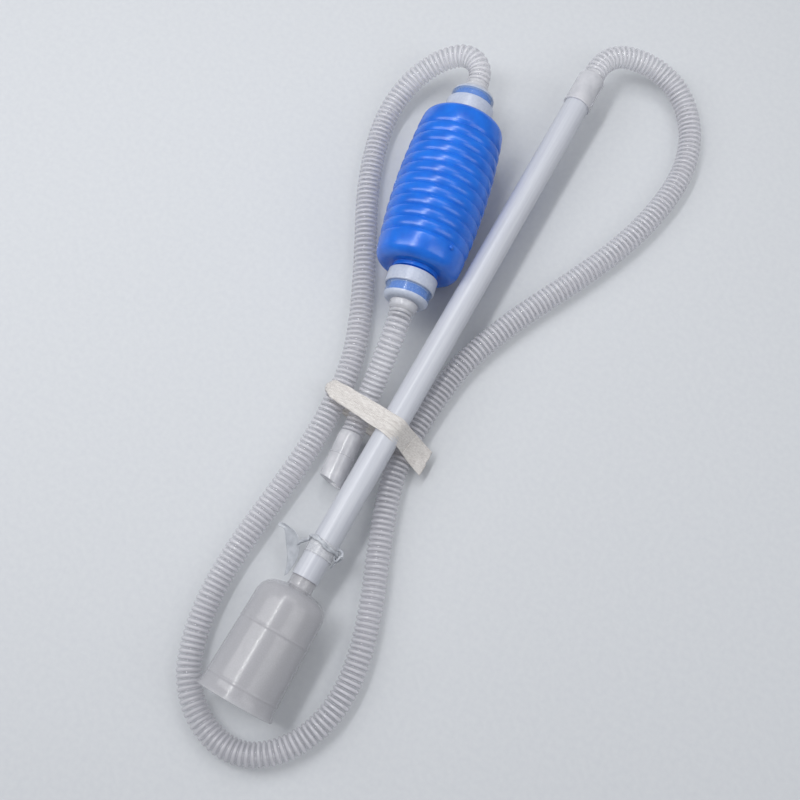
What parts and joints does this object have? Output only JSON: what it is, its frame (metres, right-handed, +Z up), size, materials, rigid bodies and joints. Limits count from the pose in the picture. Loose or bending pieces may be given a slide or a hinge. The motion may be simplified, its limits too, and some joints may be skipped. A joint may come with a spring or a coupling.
{
  "type": "gravel vacuum siphon",
  "caption": "Gravel vacuum siphon: conical cup on a rigid tube, corrugated hose, ribbed squeeze bulb with check valves, short outlet hose and nozzle, laid in a tied coil.",
  "frame": {"origin": "centre of the underside of the object's box, without the free hoses, on the surface that it lies on", "axes": "+Y along the rigid intake tube, from the cup towards the hose; +X to the tube's right seen from above; +Z up"},
  "size_m": [0.1778, 0.4549, 0.052],
  "materials": {
    "frosted_cup": "frosted moulded polypropylene",
    "milky_tube": "extruded milky polyethylene",
    "clear_hose": "clear soft PVC",
    "milky_cap": "moulded translucent polyethylene",
    "valve_plastic": "moulded white plastic",
    "valve_rubber": "soft rubber",
    "blue_bulb": "blow-moulded blue polyethylene",
    "tie_film": "stretched cream film",
    "clear_film": "crumpled clear film"
  },
  "bodies": {
    "root": {"intake_tube": "milky_tube", "intake_cuff": "clear_hose", "main_hose": "clear_hose", "bulb_inlet_cuff": "clear_hose", "pump_bulb": "blue_bulb", "inlet_valve_seat": "valve_plastic", "inlet_valve_guard": "valve_plastic", "bundle_tie": "tie_film", "film_strip": "clear_film", "film_flag": "clear_film"},
    "cup": {"gravel_cup": "frosted_cup"},
    "inlet_cap_body": {"inlet_cap": "milky_cap"},
    "inlet_disc": {"inlet_valve_disc": "valve_rubber"},
    "outlet_end": {"outlet_valve_seat": "valve_plastic", "outlet_valve_guard": "valve_plastic", "bulb_outlet_cuff": "clear_hose", "outlet_hose": "clear_hose", "outlet_nozzle": "clear_hose"},
    "outlet_cap_body": {"outlet_cap": "milky_cap"},
    "outlet_disc": {"outlet_valve_disc": "valve_rubber"}
  },
  "joints": [
    {"name": "cup_turn", "type": "hinge", "parent": "root", "child": "cup", "pos_m": [0.025, -0.13, 0.0208], "axis": [0, 1, 0], "continuous": true},
    {"name": "inlet_cap_turn", "type": "hinge", "parent": "root", "child": "inlet_cap_body", "pos_m": [-0.02626, 0.14166, 0.026], "axis": [-0.1994, 0.9799, 0], "continuous": true},
    {"name": "inlet_valve_lift", "type": "slide", "parent": "root", "child": "inlet_disc", "axis": [0.1994, -0.9799, 0], "range_m": [0, 0.0018]},
    {"name": "bulb_squeeze", "type": "slide", "parent": "root", "child": "outlet_end", "axis": [-0.1994, 0.9799, 0], "range_m": [0, 0.01], "stiffness_N_per_m": 1000, "deforming": ["pump_bulb"]},
    {"name": "outlet_cap_turn", "type": "hinge", "parent": "outlet_end", "child": "outlet_cap_body", "pos_m": [-0.00354, 0.02994, 0.026], "axis": [-0.1994, 0.9799, 0], "continuous": true},
    {"name": "outlet_valve_lift", "type": "slide", "parent": "outlet_end", "child": "outlet_disc", "axis": [0.1994, -0.9799, 0], "range_m": [0, 0.0018]}
  ]
}
